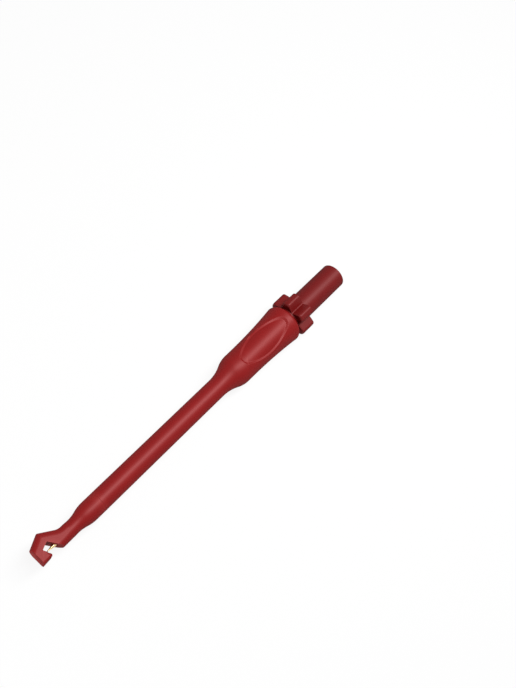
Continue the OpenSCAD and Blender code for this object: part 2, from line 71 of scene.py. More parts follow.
def radius_of(node):
    low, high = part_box(node)
    return (high.y - low.y) / 2 / MM


def spot(x, y, z):
    """Where a point lies in the frame: its station, its offset along Y and its height above the axis."""
    return Vector((front_x + x * MM, y * MM, axis_z + z * MM))


# Sizes in millimetres. Clearances, and how far a cut or a clipped outline runs past the piece
SEAT = 0.02
SPINDLE_ROOM = 0.3
PAST = 3.0

# Tolerances: points closer than WELD are one point, and NEAR finds points on a plane
WELD = 0.0005
NEAR = 0.001

# Hook in its plane, with rises and drops measured from the axis: front, highest corner, jaw and wire gap
HEAD_HALF = 2.65
FRONT_DROP = 2.5
FRONT_RISE = 3.9
BACK_X = 4.9
BACK_RISE = 6.25
BACK_FALL = radians(32.6)
NOSE_DROP = 2.2
FRONT_WALL = 2.4
POCKET_Y = 1.0
ROOF_LEN = 2.95
ROOF_SLOPE = radians(23)
JAW_LEAN = radians(28)
THROAT_LEAN = radians(34)
CORNER_R = 0.6
NECK_FILLET = 4.0
LEAST_R = 0.03

# Roundings of the hook's edges, and where one leads over to the next
BACK_ROUND = 2.2
UNDER_ROUND = 2.2
JAW_ROUND = 0.9
GAP_ROUND = 0.25
FRONT_EDGE = 0.12
ROUND_X = 13.6
FILLET_REACH = 1.9
NOSE_REACH = 1.45
THROAT_SPARE = 2.8
GAP_REACH = 1.2

# Neck, flare and shaft, the groove of their joint, and the bores inside
NECK_R = 2.6
FLARE_X = 14.5
FLARE_LEN = 7.4
SHAFT_R = 3.65
SEAM = 0.06
NEEDLE_HOLE_R = 0.9
TUBE_R = 2.3
FLANGE_T = 0.6

# Grip, its thumb recesses and the bores for the drive
GRIP_LEN = 39.2
SHOULDER_LEN = 11.3
SHOULDER_SHARE = 0.62
WAIST_R = 6.05
GRIP_R = 7.35
SWELL_LEN = 24.1
GRIP_ROUND = 1.6
REAR_DISH = 0.12
RECESS_LEN = 23.6
RECESS_W = 9.0
RECESS_END_R = 2.4
RECESS_DEPTH = 0.52
RECESS_BACK = 15.4
RIM_OUT = 0.42
RIM_IN = 0.4
WINDOW_SPARE = 0.9
WINDOW_HALF_TURN = radians(60)
COUNTERBORE_R = 5.2
CHAMBER_R = 4.0
CYLINDER_R = 3.0
TRAVEL = 4.0
PIN_SLOT_W = 1.3
PIN_SLOT_REACH = 4.55

# Star knob: six-lobed collar, barrel, skirt with the groove of its seal, and the seats inside
LOBES = 6
STAR_R = 7.85
LOBE_W = 2.6
LOBE_ROUND = 1.1
VALLEY_R = 4.95
VALLEY_ROUND = 0.5
STAR_FRONT_ROUND = 0.9
STAR_REAR_ROUND = 0.4
STAR_SLACK = 0.01
COLLAR_T = 6.4
COLLAR_FILLET = 0.1
BARREL_LEN = 22.1
BARREL_R = 4.8
SHROUD_R = 4.3
SKIRT_R = 4.9
SKIRT_LEN = 10.4
SHANK_R = 2.6
KNURL_R = 3.4
KNURL_LEN = 4.5
SEAL_BACK = 2.0
SEAL_W = 1.4
SEAL_BOTTOM_R = 4.0
SEAL_ROUND = 0.08
RIM_ROUND = 0.2
MOUTH_ROUND = 0.12
INNER_ROUND = 0.05
KNURL_SEAT_ROUND = 0.01

# Contact, its sleeve and the needle
CONTACT_R = 2.4
CONTACT_BORE_R = contact_mount["dims"]["r_mm"]
CONTACT_EDGE = 0.05
KNURL_EDGE = 0.1
CORE_R = 1.5
CORE_LEN = 3.0
LEAD_IN = 0.25
SLEEVE_R = 2.75
SLEEVE_MOUTH_R = 2.2
SLEEVE_BASE_T = 0.9
SLEEVE_FILLET = 0.15
SLEEVE_BASE_ROUND = 0.1
SLEEVE_SEAT_ROUND = 0.02
POINT_LEN = 3.2
POINT_SHARE = 1 / 12
POINT_ROUND = 0.02
NEEDLE_EDGE = 0.05

joint_x = end_of("hook_tip")
grip_end_x = start_of("star_knob") + SKIRT_LEN
grip_x = grip_end_x - GRIP_LEN
mouth_x = end_of("star_knob")
barrel_x = mouth_x - BARREL_LEN
collar_x = barrel_x - COLLAR_T


# Curves

def s_bend(x0, length, r0, r1, share, steps):
    """A hollow arc and a full arc, tangent to each other, that lift a profile from radius r0 to r1."""
    turn = 2 * atan2(r1 - r0, length)
    whole = length / sin(turn)
    hollow, full = whole * share, whole * (1 - share)
    rising = [(x0 + hollow * sin(turn * i / steps), r0 + hollow * (1 - cos(turn * i / steps)))
              for i in range(steps + 1)]
    settling = [(x0 + length - full * sin(turn * i / steps), r1 - full * (1 - cos(turn * i / steps)))
                for i in range(steps - 1, -1, -1)]
    return rising + settling


def corner_arc(before, corner, after, steps):
    """Points (x, y, edge radius) round a corner (x, y, corner radius, edge radius)."""
    x, y, radius, edge = corner
    if radius == 0:
        return [(x, y, edge)]
    into = Vector((x - before[0], y - before[1])).normalized()
    away = Vector((after[0] - x, after[1] - y)).normalized()
    turn = atan2(into.x * away.y - into.y * away.x, into.dot(away))
    side = 1 if turn > 0 else -1
    outward = Vector((into.y, -into.x))
    middle = Vector((x, y)) - into * radius * tan(abs(turn) / 2) - outward * radius * side
    first = atan2(outward.y, outward.x)
    angles = [first + turn * i / steps for i in range(steps + 1)]
    return [(middle.x + side * radius * cos(a), middle.y + side * radius * sin(a), edge) for a in angles]


def rounded_outline(corners, steps):
    """All corner arcs in turn, as (x, y, edge radius) points."""
    points = []
    for i, corner in enumerate(corners):
        points += corner_arc(corners[i - 1], corner, corners[(i + 1) % len(corners)], steps)
    return points


def rounded_profile(corners, steps=4):
    """Profile points (station, radius) from corners (station, radius, rounding), for a turned piece."""
    return [point[:2] for point in rounded_outline([(x, r, fillet, 0) for x, r, fillet in corners], steps)]


# Modelling by hand, with the tools of edit mode

def alone(piece):
    """Selects one piece and makes it the active one."""
    bpy.ops.object.select_all(action="DESELECT")
    piece.select_set(True)
    bpy.context.view_layer.objects.active = piece


def edit(piece):
    """Opens one piece in edit mode with nothing selected."""
    alone(piece)
    bpy.ops.object.mode_set(mode="EDIT")
    bpy.ops.mesh.select_mode(type="VERT")
    bpy.ops.mesh.select_all(action="DESELECT")


def close_edit():
    bpy.ops.object.mode_set(mode="OBJECT")


def merge_and_turn_out():
    """Merges points that lie on each other, and turns all faces outwards."""
    bpy.ops.mesh.select_all(action="SELECT")
    bpy.ops.mesh.remove_doubles(threshold=WELD * MM)
    bpy.ops.mesh.normals_make_consistent(inside=False)
    bpy.ops.mesh.select_all(action="DESELECT")


def draw_out(name, rings, capped=False):
    """Starts from a circle and extrudes it ring by ring. Each ring lists where its points go.

    A cap that fills the first ring travels on with the extrusions, so that it closes both ends.
    """
    bpy.ops.object.select_all(action="DESELECT")
    bpy.ops.mesh.primitive_circle_add(vertices=len(rings[0]), radius=MM, location=(0, 0, 0))
    piece = bpy.context.object
    piece.name = piece.data.name = name
    number = piece.data.attributes.new("number", "INT", "POINT")
    number.data.foreach_set("value", range(len(rings[0])))
    edit(piece)
    bpy.ops.mesh.select_all(action="SELECT")
    for step, ring in enumerate(rings):
        if step > 0:
            bpy.ops.mesh.extrude_region()
        mesh = bmesh.from_edit_mesh(piece.data)
        numbers = mesh.verts.layers.int["number"]
        for vertex in mesh.verts:
            if vertex.select:
                vertex.co = ring[vertex[numbers]]
        bmesh.update_edit_mesh(piece.data)
        if capped and step == 0:
            bpy.ops.mesh.edge_face_add()
    merge_and_turn_out()
    close_edit()
    piece.data.attributes.remove(piece.data.attributes["number"])
    return piece


def ring_at(x, radii):
    """Points round the axis at a station, one for each radius in turn, at even angles."""
    turn = 2 * pi / len(radii)
    return [spot(x, r * cos(turn * i), r * sin(turn * i)) for i, r in enumerate(radii)]


def turned(name, profile, sides, closed=True, capped=False):
    """A piece that is turned about the probe's axis, from (station, radius) points."""
    rings = [ring_at(x, [r] * sides) for x, r in profile]
    return draw_out(name, rings + rings[:1] if closed else rings, capped)


def use(piece, kind, **settings):
    """Adds a modifier and applies it."""
    modifier = piece.modifiers.new(kind.title(), kind)
    for name, value in settings.items():
        setattr(modifier, name, value)
    alone(piece)
    bpy.ops.object.modifier_apply(modifier=modifier.name)


def cut_with(piece, tool):
    """Cuts a tool's shape out of a piece. The tool is used up."""
    use(piece, "BOOLEAN", object=tool, operation="DIFFERENCE", solver="EXACT")
    bpy.data.objects.remove(tool, do_unlink=True)


def finish_piece(piece, finish, body, has_flats=True):
    """Shades a piece smoothly up to its creases, gives it its finish and its body, and hides the imported
    node that it stands for.

    On a piece with flats the larger faces lead the shading, so that they look flat.
    """
    alone(piece)
    bpy.ops.object.shade_smooth_by_angle(angle=radians(30))
    if has_flats:
        use(piece, "WEIGHTED_NORMAL", keep_sharp=True)
    piece.data.materials.clear()
    piece.data.materials.append(finishes[finish])
    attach(piece, body)
    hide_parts(piece.name.replace("fine_", ""))


# Finishes. A Mix node's colour sockets share their names with others, so they are told apart by number.
MIX_A = 6
MIX_B = 7
MIX_OUT = 2


def linear(hex_colour):
    """An sRGB hex colour as linear values."""
    channels = [int(hex_colour[i:i + 2], 16) / 255 for i in (1, 3, 5)]
    return tuple(c / 12.92 if c <= 0.04045 else ((c + 0.055) / 1.055) ** 2.4 for c in channels) + (1.0,)


def add(tree, kind, inputs=None, **settings):
    """Adds a node with its settings. An input is given a value, or the socket that it is linked to."""
    node = tree.nodes.new("ShaderNode" + kind)
    for name, value in settings.items():
        setattr(node, name, value)
    for name, value in (inputs or {}).items():
        if isinstance(value, bpy.types.NodeSocket):
            tree.links.new(value, node.inputs[name])
        else:
            node.inputs[name].default_value = value
    return node


def per_metre(size_mm):
    """The scale of a pattern whose features are this many millimetres wide."""
    return 1 / (size_mm * MM)


def new_finish(name):
    """A new material with its node tree and its shader."""
    material = bpy.data.materials.new(name)
    material.use_nodes = True
    tree = material.node_tree
    return material, tree, tree.nodes["Principled BSDF"]


def moulded_plastic(name, colour, worn, deep, roughness):
    """Glass-filled polyamide, injection moulded: an even colour, a satin skin and a painted highlight along
    its outer edges.
    """
    cloud_mm, grain_mm, grain_height_mm = 7, 0.2, 0.004
    material, tree, shader = new_finish(name)
    place = add(tree, "TexCoord").outputs["Object"]
    cloud = add(tree, "TexNoise", {"Vector": place, "Scale": per_metre(cloud_mm), "Detail": 3.0})
    tint = add(tree, "Mix", {"Factor": cloud.outputs["Fac"], MIX_A: linear(deep), MIX_B: linear(colour)},
               data_type="RGBA")
    # Pointiness is 0.5 on a flat face and rises towards an outer edge, which gets a painted highlight in a
    # paler colour
    edges = add(tree, "NewGeometry").outputs["Pointiness"]
    edge_highlight_mask = add(tree, "MapRange", {"Value": edges, "From Min": 0.53, "From Max": 0.62, "To Max": 0.5})
    skin = add(tree, "Mix", {"Factor": edge_highlight_mask.outputs["Result"], MIX_A: tint.outputs[MIX_OUT],
                             MIX_B: linear(worn)}, data_type="RGBA")
    tree.links.new(skin.outputs[MIX_OUT], shader.inputs["Base Color"])
    # The grain of the mould is about 0.05 mm wide. It is drawn four times as coarse, so that it shows.
    grain = add(tree, "TexNoise", {"Vector": place, "Scale": per_metre(grain_mm), "Detail": 2.0})
    gloss = add(tree, "MapRange", {"Value": cloud.outputs["Fac"], "To Min": roughness - 0.04,
                                   "To Max": roughness + 0.05})
    tree.links.new(gloss.outputs["Result"], shader.inputs["Roughness"])
    bump = add(tree, "Bump", {"Height": grain.outputs["Fac"], "Distance": grain_height_mm * MM,
                              "Strength": 0.6})
    tree.links.new(bump.outputs["Normal"], shader.inputs["Normal"])
    # The moulded skin is thin and satin, so it is set as a light coat and not as the body's own gloss.
    # A small share of metallic gives the highlight the red of the pigment.
    shader.inputs["Specular IOR Level"].default_value = 0.0
    shader.inputs["Metallic"].default_value = 0.08
    shader.inputs["Specular Tint"].default_value = linear(colour)
    shader.inputs["Coat Weight"].default_value = 0.125
    shader.inputs["Coat IOR"].default_value = 2.2
    shader.inputs["Coat Roughness"].default_value = roughness
    return material


def worked_metal(name, colour, dull, roughness, groove_mm, height_mm):
    """Metal that was turned or drawn: fine rings round the axis, and a slightly uneven polish."""
    cloud_mm = 1.5
    material, tree, shader = new_finish(name)
    place = add(tree, "TexCoord").outputs["Object"]
    cloud = add(tree, "TexNoise", {"Vector": place, "Scale": per_metre(cloud_mm), "Detail": 3.0})
    tint = add(tree, "Mix", {"Factor": cloud.outputs["Fac"], MIX_A: linear(dull), MIX_B: linear(colour)},
               data_type="RGBA")
    tree.links.new(tint.outputs[MIX_OUT], shader.inputs["Base Color"])
    # A wave texture repeats twenty times over a length of 2 pi, so its scale is worked out from the groove
    waves_per_unit = 20 / (2 * pi)
    rings = add(tree, "TexWave", {"Vector": place, "Scale": per_metre(groove_mm) / waves_per_unit,
                                  "Distortion": 1.5, "Detail": 2.0, "Detail Scale": 2.0},
                bands_direction="X")
    gloss = add(tree, "MapRange", {"Value": rings.outputs["Fac"], "To Min": roughness - 0.05,
                                   "To Max": roughness + 0.07})
    tree.links.new(gloss.outputs["Result"], shader.inputs["Roughness"])
    bump = add(tree, "Bump", {"Height": rings.outputs["Fac"], "Distance": height_mm * MM, "Strength": 0.5})
    tree.links.new(bump.outputs["Normal"], shader.inputs["Normal"])
    shader.inputs["Metallic"].default_value = 1.0
    return material


def moulded_rubber(name, colour, dusty):
    """Nitrile rubber, moulded: dark, dull and slightly dusty."""
    dust_mm, dust_height_mm = 0.6, 0.01
    material, tree, shader = new_finish(name)
    place = add(tree, "TexCoord").outputs["Object"]
    dust = add(tree, "TexNoise", {"Vector": place, "Scale": per_metre(dust_mm), "Detail": 4.0})
    tint = add(tree, "Mix", {"Factor": dust.outputs["Fac"], MIX_A: linear(colour), MIX_B: linear(dusty)},
               data_type="RGBA")
    tree.links.new(tint.outputs[MIX_OUT], shader.inputs["Base Color"])
    bump = add(tree, "Bump", {"Height": dust.outputs["Fac"], "Distance": dust_height_mm * MM})
    tree.links.new(bump.outputs["Normal"], shader.inputs["Normal"])
    shader.inputs["Roughness"].default_value = 0.75
    return material


# Each plastic's paler edge colour is a painted highlight along its outer edges
finishes = {
    "red_plastic": moulded_plastic(
        "satin_red_polyamide", colour="#830f0f", worn="#a8403c", deep="#7a0d0d", roughness=0.47),
    "knob_plastic": moulded_plastic(
        "satin_dark_red_polyamide", colour="#6c0c0c", worn="#8a3532", deep="#640a0a", roughness=0.47),
    "sleeve_plastic": moulded_plastic(
        "plain_dark_red_polyamide", colour="#6b1414", worn="#7d2523", deep="#601010", roughness=0.5),
    "brass": worked_metal(
        "turned_brass", colour="#c9a24b", dull="#b08a3c", roughness=0.3, groove_mm=0.15, height_mm=0.004),
    "gold_plate": worked_metal(
        "gold_plated_brass", colour="#e9d2a2", dull="#d8bb84", roughness=0.15, groove_mm=0.12,
        height_mm=0.002),
    "steel": worked_metal(
        "drawn_steel", colour="#bcbdc0", dull="#a2a4a8", roughness=0.3, groove_mm=0.2, height_mm=0.003),
    "rubber": moulded_rubber("moulded_nitrile", colour="#151516", dusty="#2b2a2c"),
}


# Hook tip. In its plane the wire gap is bounded by the jaw's nose and top, the roof's end and the throat.
jaw_top = Vector((FRONT_WALL, POCKET_Y))
jaw_len = (POCKET_Y + NOSE_DROP) / cos(JAW_LEAN)
nose = jaw_top + jaw_len * Vector((sin(JAW_LEAN), -cos(JAW_LEAN)))
roof_end = jaw_top + ROOF_LEN * Vector((cos(ROOF_SLOPE), sin(ROOF_SLOPE)))
throat_len = (roof_end.y + HEAD_HALF) / cos(THROAT_LEAN)
throat = roof_end + throat_len * Vector((sin(THROAT_LEAN), -cos(THROAT_LEAN)))
up_jaw = (jaw_top - nose).normalized()
gap_start = nose + up_jaw * 2 * NOSE_REACH
throat_on_axis_x = roof_end.x + roof_end.y * tan(THROAT_LEAN)


def lead(start, start_edge, end, end_edge, steps=8):
    """Points on a straight line of the outline, along which one edge radius leads over to another."""
    points = []
    for i in range(steps + 1):
        t = i / steps
        ease = t * t * (3 - 2 * t)
        points.append((*(start + (end - start) * t), 0, start_edge + (end_edge - start_edge) * ease))
    return points


def plate_corners():
    """Corners (x, y, corner radius, edge radius) of the hook's plate.

    Its edges are rounded along the back, jaw and underside, and turn fully round at the neck. The jaw's
    rounding fades out where the gap's face begins.
    """
    back_end = BACK_X + (BACK_RISE - HEAD_HALF) / tan(BACK_FALL)
    back_slope = (BACK_RISE - FRONT_RISE) / BACK_X
    jaw_slope = (FRONT_DROP - NOSE_DROP) / nose.x
    corners = [(ROUND_X + PAST, HEAD_HALF, LEAST_R, NECK_R)]
    corners += lead(Vector((ROUND_X, HEAD_HALF)), NECK_R,
                    Vector((back_end + FILLET_REACH, HEAD_HALF)), BACK_ROUND)
    corners += [
        (back_end, HEAD_HALF, NECK_FILLET, BACK_ROUND),
        (BACK_X, BACK_RISE, CORNER_R, BACK_ROUND),
        (-PAST, FRONT_RISE - back_slope * PAST, LEAST_R, BACK_ROUND),
        (-PAST, -FRONT_DROP - jaw_slope * PAST, LEAST_R, JAW_ROUND),
        (*nose, CORNER_R, JAW_ROUND),
    ]
    corners += lead(nose + up_jaw * NOSE_REACH, JAW_ROUND, gap_start, 0)
    corners += [(throat.x - THROAT_SPARE, -HEAD_HALF, 0, UNDER_ROUND)]
    corners += lead(throat, UNDER_ROUND, Vector((ROUND_X, -HEAD_HALF)), NECK_R)
    corners += [(ROUND_X + PAST, -HEAD_HALF, LEAST_R, NECK_R)]
    return corners


def gap_corners():
    """Corners of the wire gap, which is cut into the plate with sharp edges."""
    beyond = throat + (throat - roof_end).normalized() * GAP_REACH
    return [(*gap_start, 0, 0), (*jaw_top, GAP_ROUND, 0), (*roof_end, GAP_ROUND, 0), (*beyond, 0, 0),
            (throat.x - THROAT_SPARE, beyond.y, 0, 0)]


def drawn_in(corners, share):
    """The outline's corners drawn inwards by a share of their edge radius, square to both their lines."""
    inner = []
    for i, (x, y, radius, edge) in enumerate(corners):
        before, after = corners[i - 1], corners[(i + 1) % len(corners)]
        into = Vector((x - before[0], y - before[1])).normalized()
        away = Vector((after[0] - x, after[1] - y)).normalized()
        outward = Vector((into.y + away.y, -into.x - away.x)) / (1 + into.dot(away))
        depth = edge * share
        bulge = 1 if into.x * away.y > into.y * away.x else -1
        inner.append((x - outward.x * depth, y - outward.y * depth,
                      max(radius - bulge * depth, LEAST_R) if radius else 0, edge))
    return inner


def rounded_plate(name, corners, corner_steps, edge_steps):
    """A plate in the hook's plane whose edges are rounded by the edge radius of each corner."""
    levels = [(-1, pi / 2 * (1 - i / edge_steps)) for i in range(edge_steps + 1)]
    levels += [(1, pi / 2 * i / edge_steps) for i in range(edge_steps + 1)]
    rings = [[spot(x, y, side * (HEAD_HALF - edge * (1 - sin(angle))))
              for x, y, edge in rounded_outline(drawn_in(corners, 1 - cos(angle)), corner_steps)]
             for side, angle in levels]
    return draw_out(name, rings, capped=True)


def cut_square(x, keep_behind, fill):
    """Cuts the piece in edit mode square to the axis at a station, and keeps what lies on one side."""
    bpy.ops.mesh.select_all(action="SELECT")
    bpy.ops.mesh.bisect(plane_co=spot(x, 0, 0), plane_no=(1, 0, 0), use_fill=fill, clear_inner=keep_behind,
                        clear_outer=not keep_behind, threshold=WELD * MM)


def round_front_edge(piece):
    """The square front face is drawn forward in two narrow steps, which round its edge."""
    bpy.ops.mesh.select_mode(type="FACE")
    mesh = bmesh.from_edit_mesh(piece.data)
    flat = spot(FRONT_EDGE, 0, 0).x
    for face in mesh.faces:
        looks_forward = face.normal.x < -0.99
        face.select = looks_forward and abs(face.calc_center_median().x - flat) < NEAR * MM
    bmesh.update_edit_mesh(piece.data)
    less, more = 0.3 * FRONT_EDGE * MM, 0.7 * FRONT_EDGE * MM
    bpy.ops.mesh.inset(thickness=less, depth=more)
    bpy.ops.mesh.inset(thickness=more, depth=less)
    bpy.ops.mesh.select_mode(type="VERT")


def draw_neck(piece):
    """Draws the plate's cut end out into the round neck and the flare, and closes it at the joint."""
    profile = s_bend(FLARE_X, FLARE_LEN, NECK_R, SHAFT_R, share=0.5, steps=14)
    profile += [(joint_x - SEAM, SHAFT_R), (joint_x, SHAFT_R - SEAM)]
    mesh = bmesh.from_edit_mesh(piece.data)
    for vertex in mesh.verts:
        vertex.select = abs(vertex.co.x - spot(ROUND_X, 0, 0).x) < NEAR * MM
    mesh.select_flush(True)
    bmesh.update_edit_mesh(piece.data)
    for x, r in profile:
        bpy.ops.mesh.extrude_region()
        mesh = bmesh.from_edit_mesh(piece.data)
        for vertex in mesh.verts:
            if vertex.select:
                angle = atan2(vertex.co.z - axis_z, vertex.co.y)
                vertex.co = spot(x, r * cos(angle), r * sin(angle))
        bmesh.update_edit_mesh(piece.data)
    bpy.ops.mesh.edge_face_add()


def make_hook_tip():
    """The plate, its front edge, neck and flare, with the wire gap and the bores cut into it."""
    piece = rounded_plate("fine_hook_tip", plate_corners(), corner_steps=8, edge_steps=12)
    edit(piece)
    cut_square(FRONT_EDGE, keep_behind=True, fill=True)
    round_front_edge(piece)
    cut_square(ROUND_X, keep_behind=False, fill=False)
    draw_neck(piece)
    merge_and_turn_out()
    close_edit()
    outline = [point[:2] for point in rounded_outline(gap_corners(), steps=6)]
    sides = [[spot(x, y, z) for x, y in outline] for z in (-HEAD_HALF - PAST, HEAD_HALF + PAST)]
    cut_with(piece, draw_out("gap_tool", sides, capped=True))
    bush_x, bush_r = start_of("needle_bush"), radius_of("needle_bush") + SEAT
    tube_x, tube_r = start_of("guide_tube"), TUBE_R + SEAT
    drill = [(throat_on_axis_x - PAST, NEEDLE_HOLE_R), (bush_x, NEEDLE_HOLE_R), (bush_x, bush_r),
             (tube_x, bush_r), (tube_x, tube_r), (joint_x + PAST, tube_r)]
    cut_with(piece, turned("drill", drill, sides=96, closed=False, capped=True))
    finish_piece(piece, "red_plastic", "housing")


# Housing

def grip_profile():
    """Outside of the shaft and grip: shoulder, waist, swell and rounded rear edge."""
    shaft_steps, shoulder_steps, swell_steps, rear_steps = 20, 16, 48, 14
    top_x = grip_end_x - GRIP_ROUND
    swell_x = top_x - SWELL_LEN
    turn = 2 * atan2(GRIP_R - WAIST_R, SWELL_LEN)
    swell_r = SWELL_LEN / sin(turn) - GRIP_ROUND
    rear_slope = radians(80)
    rear_turn = turn + rear_slope
    shaft = [(joint_x, SHAFT_R - SEAM), (joint_x + SEAM, SHAFT_R)]
    shaft += [(joint_x + (grip_x - joint_x) * i / shaft_steps, SHAFT_R) for i in range(1, shaft_steps)]
    shoulder = s_bend(grip_x, SHOULDER_LEN, SHAFT_R, WAIST_R, SHOULDER_SHARE, shoulder_steps)
    swell = [(swell_x + swell_r * sin(turn * i / swell_steps),
              WAIST_R + swell_r * (1 - cos(turn * i / swell_steps))) for i in range(swell_steps + 1)]
    rear = [(top_x - GRIP_ROUND * sin(angle), GRIP_R - GRIP_ROUND * (1 - cos(angle)))
            for angle in [turn - rear_turn * i / rear_steps for i in range(1, rear_steps + 1)]]
    return shaft + shoulder + swell + rear


def cut_pin_slots(piece):
    """Cuts both slots of the guide pin into the wall, with one bar across the bore."""
    low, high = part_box("guide_pin")
    bpy.ops.object.select_all(action="DESELECT")
    bpy.ops.mesh.primitive_cube_add(size=1, location=((low.x + high.x) / 2 + TRAVEL / 2 * MM, 0, axis_z))
    bar = bpy.context.object
    bar.scale = ((TRAVEL + PIN_SLOT_W) * MM, 2 * PIN_SLOT_REACH * MM, PIN_SLOT_W * MM)
    bpy.ops.object.transform_apply(location=True, rotation=True, scale=True)
    cut_with(piece, bar)


def radius_at(profile, x):
    """Radius of a profile at a station."""
    for (x0, r0), (x1, r1) in zip(profile, profile[1:]):
        if x0 <= x <= x1 and x1 > x0:
            return r0 + (r1 - r0) * (x - x0) / (x1 - x0)
    return profile[-1][1]


def nearest_on_oval(x, y):
    """Nearest point of the recess's oval, its outward normal, and where that normal meets the middle."""
    reach = RECESS_LEN / 2 - RECESS_END_R
    side_r = (reach ** 2 + RECESS_W ** 2 / 4 - RECESS_END_R ** 2) / (RECESS_W - 2 * RECESS_END_R)
    drop = side_r - RECESS_W / 2
    flip = Vector((-1 if x < 0 else 1, -1 if y < 0 else 1))
    if abs(x) * drop > (abs(y) + drop) * reach:
        centre, radius = Vector((reach, 0)), RECESS_END_R
    else:
        centre, radius = Vector((0, -drop)), side_r
    normal = (Vector((abs(x), abs(y))) - centre).normalized()
    edge = centre + normal * radius
    middle = Vector((edge.x - normal.x * edge.y / normal.y if centre.y < 0 else reach, 0))
    return edge * flip, normal * flip, middle * flip


def open_window(piece, centre_x, side):
    """Deletes the grip's outer faces round a recess, and selects the edge of the window that they leave."""
    bpy.ops.mesh.select_mode(type="FACE")
    mesh = bmesh.from_edit_mesh(piece.data)
    half_window = RECESS_LEN / 2 + WINDOW_SPARE
    mid_wall_r = (COUNTERBORE_R + WAIST_R) / 2
    for face in mesh.faces:
        middle = (face.calc_center_median() - spot(centre_x, 0, 0)) / MM
        outer = hypot(middle.y, middle.z) > mid_wall_r
        face.select = (outer and abs(middle.x) < half_window
                       and abs(atan2(middle.y, side * middle.z)) < WINDOW_HALF_TURN)
    bmesh.update_edit_mesh(piece.data)
    bpy.ops.mesh.delete(type="FACE")
    bpy.ops.mesh.select_mode(type="EDGE")
    mesh = bmesh.from_edit_mesh(piece.data)
    for edge in mesh.edges:
        edge.select = edge.is_boundary
    bmesh.update_edit_mesh(piece.data)


def press_recess(piece, outside, side):
    """Opens a window in the grip and fills it again, ring by ring, down into the thumb recess."""
    centre_x = grip_end_x - RECESS_BACK
    edit(piece)
    open_window(piece, centre_x, side)

    def next_ring(target):
        """Extrudes the window's edge and moves it. A target gives (x, y, depth) for a point's (x, y)."""
        bpy.ops.mesh.extrude_region()
        mesh = bmesh.from_edit_mesh(piece.data)
        for vertex in mesh.verts:
            if vertex.select:
                here = (vertex.co - spot(centre_x, 0, 0)) / MM
                x, y, depth = target(here.x, here.y)
                surface = radius_at(outside, centre_x + x) - depth
                vertex.co = spot(centre_x + x, y, side * sqrt(surface ** 2 - y ** 2))
        bmesh.update_edit_mesh(piece.data)

    # The rim is an even slope that catches the light as a line. Both its ends ease over, by steps of
    # (distance, depth). Its own points are (distance outwards from the oval, depth).
    ease = [(0, 0), (0.05, 0.01), (0.1, 0.03)]
    rim = [(RIM_OUT - way, depth) for way, depth in ease]
    rim += [(way - RIM_IN, RECESS_DEPTH - depth) for way, depth in reversed(ease)]

    def towards_rim(share):
        def target(x, y):
            edge, normal, _ = nearest_on_oval(x, y)
            start = edge + normal * RIM_OUT
            return (*(start + (Vector((x, y)) - start) * share), 0)
        return target

    def on_rim(out, depth):
        def target(x, y):
            edge, normal, _ = nearest_on_oval(x, y)
            return (*(edge + normal * out), depth)
        return target

    def on_floor(share):
        def target(x, y):
            edge, normal, middle = nearest_on_oval(x, y)
            start = edge - normal * RIM_IN
            return (*(start + (middle - start) * share), RECESS_DEPTH)
        return target

    shares = (0.2, 0.4, 0.6, 0.8)
    for share in (*reversed(shares), 0):
        next_ring(towards_rim(share))
    for out, depth in rim[1:]:
        next_ring(on_rim(out, depth))
    for share in (*shares, 1):
        next_ring(on_floor(share))
    merge_and_turn_out()
    close_edit()


def make_housing():
    """Shaft and grip with their bores, the guide pin's slots and both thumb recesses."""
    outside = grip_profile()
    flange_x = end_of("guide_tube") - FLANGE_T
    chamber_x = start_of("spindle") - SPINDLE_ROOM
    nut_x, nut_end_x, nut_r = start_of("nut_insert"), end_of("nut_insert"), radius_of("nut_insert") + SEAT
    tube_r = TUBE_R + SEAT
    inside = [(grip_end_x - REAR_DISH, COUNTERBORE_R), (nut_end_x, COUNTERBORE_R), (nut_end_x, nut_r),
              (nut_x, nut_r), (nut_x, CHAMBER_R), (chamber_x, CHAMBER_R), (chamber_x, CYLINDER_R),
              (flange_x, CYLINDER_R), (flange_x, tube_r), (joint_x, tube_r)]
    piece = turned("fine_housing", outside + inside, sides=192)
    cut_pin_slots(piece)
    for side in (1, -1):
        press_recess(piece, outside, side)
    finish_piece(piece, "red_plastic", "housing", has_flats=False)


# Star knob

def star_radii(sides):
    """Radii of the star's rounded outline at even angles, each found where its ray meets the outline."""
    corners = []
    for i in range(LOBES):
        lobe, valley = 2 * pi * i / LOBES, 2 * pi * (i + 0.5) / LOBES
        out, across = Vector((cos(lobe), sin(lobe))), Vector((-sin(lobe), cos(lobe)))
        low, high = out * STAR_R - across * LOBE_W / 2, out * STAR_R + across * LOBE_W / 2
        deep = Vector((cos(valley), sin(valley))) * VALLEY_R
        corners += [(*low, LOBE_ROUND, 0), (*high, LOBE_ROUND, 0), (*deep, VALLEY_ROUND, 0)]
    outline = [(atan2(y, x) % (2 * pi), Vector((x, y))) for x, y, _ in rounded_outline(corners, steps=8)]
    outline.sort(key=lambda entry: entry[0])
    (first, first_point), (last, last_point) = outline[0], outline[-1]
    outline = [(last - 2 * pi, last_point), *outline, (first + 2 * pi, first_point)]

    def radius(angle):
        for (a0, p0), (a1, p1) in zip(outline, outline[1:]):
            if a0 <= angle <= a1 and a1 > a0:
                ray, side = Vector((cos(angle), sin(angle))), p1 - p0
                return (p0.x * side.y - p0.y * side.x) / (ray.x * side.y - ray.y * side.x)

    return [radius(2 * pi * i / sides) for i in range(sides)]


